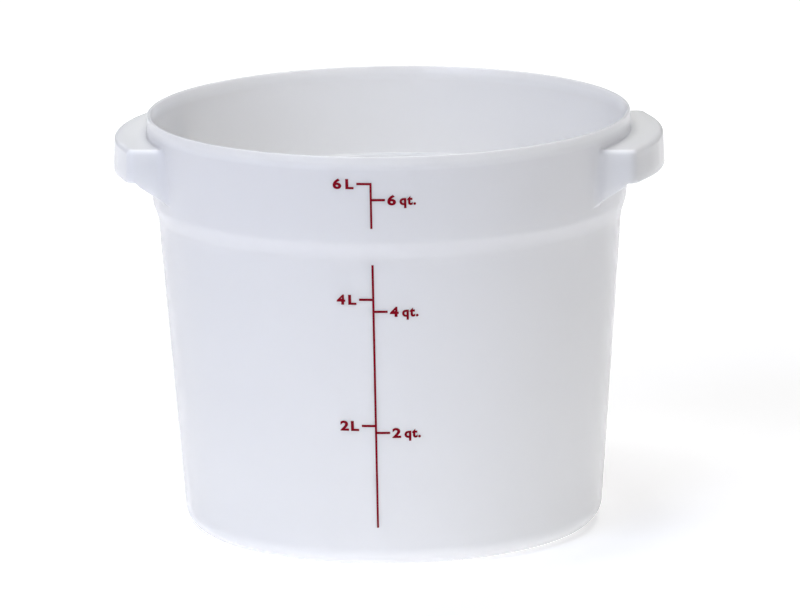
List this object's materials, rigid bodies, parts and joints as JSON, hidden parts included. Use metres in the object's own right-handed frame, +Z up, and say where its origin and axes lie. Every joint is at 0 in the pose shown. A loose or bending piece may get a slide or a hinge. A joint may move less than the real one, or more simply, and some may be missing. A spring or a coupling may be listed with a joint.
{
  "type": "dough proofing container",
  "caption": "Round tapered tub of translucent plastic for proofing and storing dough, with a stepped stacking collar, two moulded hood handles and a printed litre and quart scale.",
  "frame": {"origin": "middle of the base, on the surface that the tub stands on", "axes": "+Z up along the tub's axis, +X through the right handle, -Y towards the printed scale"},
  "size_m": [0.2588, 0.2278, 0.197],
  "materials": {
    "tub_plastic": "translucent white polypropylene, satin with a soft gloss",
    "scale_ink": "printed red ink"
  },
  "bodies": {
    "root": {"tub_base": "tub_plastic", "tub_wall": "tub_plastic", "stacking_collar": "tub_plastic", "rim_lip": "tub_plastic", "handle_left": "tub_plastic", "handle_right": "tub_plastic", "scale_upper_line": "scale_ink", "scale_lower_line": "scale_ink", "litre_ticks": "scale_ink", "quart_ticks": "scale_ink"}
  },
  "joints": []
}
